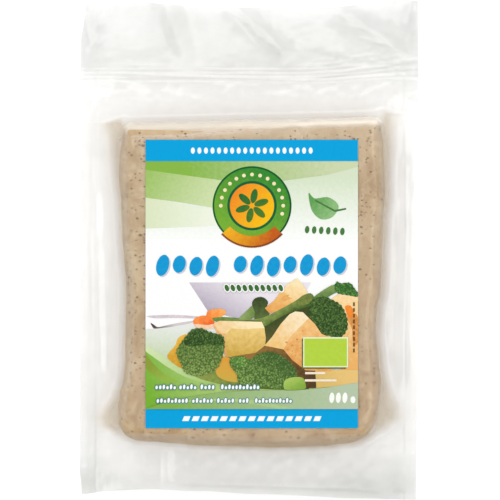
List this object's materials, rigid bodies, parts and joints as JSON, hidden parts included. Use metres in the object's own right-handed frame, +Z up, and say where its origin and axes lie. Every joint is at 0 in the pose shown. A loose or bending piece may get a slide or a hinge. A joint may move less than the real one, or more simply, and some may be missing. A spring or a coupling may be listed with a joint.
{
  "type": "vacuum packed tofu block",
  "caption": "Slab of firm tofu vacuum packed in a clear flat pouch with a sealed border and a rectangular paper label on its face.",
  "frame": {"origin": "under the middle of the pouch, on the surface that it lies on", "axes": "+Z up out of the labelled face, +Y towards the pouch's mouth end, +X to the right of the label"},
  "size_m": [0.1356, 0.2, 0.022],
  "materials": {
    "film": "clear glossy film, slightly hazy",
    "tofu": "moist firm bean curd with small pits",
    "label_print": "coated paper, printed, slight gloss"
  },
  "bodies": {
    "root": {"pouch": "film", "label": "label_print"}
  },
  "joints": []
}
